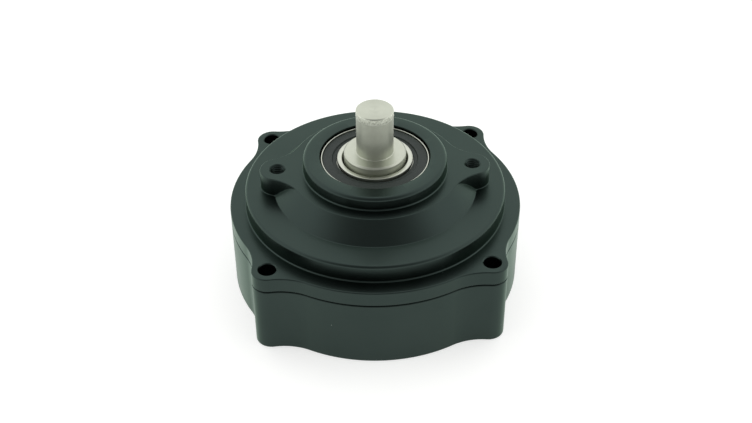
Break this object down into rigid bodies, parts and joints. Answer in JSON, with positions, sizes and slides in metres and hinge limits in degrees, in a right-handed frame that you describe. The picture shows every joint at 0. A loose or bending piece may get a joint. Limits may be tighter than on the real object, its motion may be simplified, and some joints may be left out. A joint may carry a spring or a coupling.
{
  "type": "hydraulic motor",
  "caption": "Short round hydraulic motor with eared black housing, domed two-lug front cover, sealed ball bearing and a plain stepped steel shaft.",
  "frame": {"origin": "centre of the rear face on the shaft's axis", "axes": "+Z along the shaft, out of the front cover; the two lugs and the two ports lie on X"},
  "size_m": [0.095, 0.095, 0.063],
  "materials": {
    "black_anodised": "satin black anodised over a fine machined surface",
    "turned_steel": "turned and ground, satin",
    "bearing_steel": "ground and polished",
    "rotor_steel": "hardened and lapped",
    "bronze": "machined bearing bronze",
    "seal_rubber": "matt moulded nitrile",
    "black_oxide": "black oxide steel, lightly oiled",
    "cage_plastic": "natural glass-filled nylon"
  },
  "bodies": {
    "body": {"housing": "black_anodised", "front_cover": "black_anodised", "eccentric_ring": "rotor_steel", "port_plate": "bronze", "pressure_plate": "bronze", "rear_bush": "bronze", "cover_dowel_right": "turned_steel", "cover_dowel_left": "turned_steel", "ring_dowel": "turned_steel", "seal_garter_spring": "turned_steel", "bearing_outer_ring": "bearing_steel", "bearing_front_seal": "seal_rubber", "bearing_rear_seal": "seal_rubber", "shaft_seal_lip": "seal_rubber", "cover_o_ring": "seal_rubber", "bearing_circlip": "black_oxide", "shaft_seal_case": "black_oxide", "cover_screw_1": "black_oxide", "cover_screw_2": "black_oxide", "cover_screw_3": "black_oxide", "cover_screw_4": "black_oxide", "cover_screw_5": "black_oxide", "cover_screw_6": "black_oxide"},
    "shaft": {"drive_shaft": "turned_steel", "inner_rotor": "rotor_steel", "rotor_key": "rotor_steel", "bearing_inner_ring": "bearing_steel"},
    "outer_rotor": {"outer_rotor": "rotor_steel"},
    "ball_set": {"bearing_cage": "cage_plastic", "bearing_ball_01": "bearing_steel", "bearing_ball_02": "bearing_steel", "bearing_ball_03": "bearing_steel", "bearing_ball_04": "bearing_steel", "bearing_ball_05": "bearing_steel", "bearing_ball_06": "bearing_steel", "bearing_ball_07": "bearing_steel", "bearing_ball_08": "bearing_steel", "bearing_ball_09": "bearing_steel", "bearing_ball_10": "bearing_steel", "bearing_ball_11": "bearing_steel", "bearing_ball_12": "bearing_steel"}
  },
  "joints": [
    {"name": "shaft_spin", "type": "hinge", "parent": "body", "child": "shaft", "pos_m": [0, 0, 0.0402], "axis": [0, 0, 1], "continuous": true},
    {"name": "outer_rotor_spin", "type": "hinge", "parent": "body", "child": "outer_rotor", "pos_m": [0, -0.0024, 0.0154], "axis": [0, 0, 1], "continuous": true},
    {"name": "ball_set_spin", "type": "hinge", "parent": "body", "child": "ball_set", "pos_m": [0, 0, 0.0402], "axis": [0, 0, 1], "continuous": true}
  ],
  "couplings": [
    {"joint": "outer_rotor_spin", "follows": "shaft_spin", "ratio": 0.85714},
    {"joint": "ball_set_spin", "follows": "shaft_spin", "ratio": 0.4231}
  ]
}
